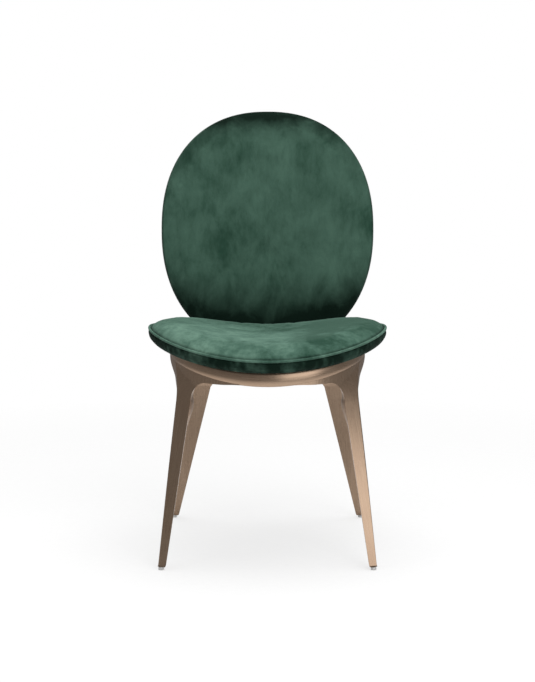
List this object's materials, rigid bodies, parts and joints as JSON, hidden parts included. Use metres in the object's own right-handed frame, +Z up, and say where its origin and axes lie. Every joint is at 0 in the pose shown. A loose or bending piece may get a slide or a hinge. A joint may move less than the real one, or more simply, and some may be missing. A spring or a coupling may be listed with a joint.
{
  "type": "upholstered dining chair",
  "caption": "Dining chair with a saddle-bent round padded seat, an oval padded back and splayed tapered metal legs under a curved ring.",
  "frame": {"origin": "on the floor, under the centre of the whole chair's bounding box", "axes": "+Z up, -Y the way the sitter faces, +X the right-hand side of a picture taken from the front"},
  "size_m": [0.5376, 0.6149, 0.9898],
  "materials": {
    "bronze": "satin",
    "dark_steel": "satin",
    "plated_steel": "satin",
    "glide_nylon": "satin",
    "plywood": "matte",
    "foam": "matte",
    "velvet": "matte",
    "dust_cloth": "matte"
  },
  "bodies": {
    "root": {"apron_ring": "bronze", "front_left_leg": "bronze", "front_right_leg": "bronze", "rear_left_leg": "bronze", "rear_right_leg": "bronze", "leg_end_bushes": "plated_steel", "front_left_glide": "glide_nylon", "front_right_glide": "glide_nylon", "rear_left_glide": "glide_nylon", "rear_right_glide": "glide_nylon", "seat_tabs": "bronze", "left_back_bracket": "dark_steel", "right_back_bracket": "dark_steel", "seat_screws": "dark_steel", "seat_washers": "plated_steel", "seat_tee_nuts": "plated_steel", "seat_board": "plywood", "seat_foam": "foam", "seat_top_cover": "velvet", "seat_boxing": "velvet", "seat_piping": "velvet", "seat_dust_cover": "dust_cloth", "dust_cover_staples": "plated_steel", "back_board": "plywood", "back_front_foam": "foam", "back_front_cover": "velvet", "back_rear_foam": "foam", "back_rear_cover": "velvet", "back_edge_band": "velvet", "back_screws": "dark_steel", "back_washers": "plated_steel", "back_tee_nuts": "plated_steel"}
  },
  "joints": []
}
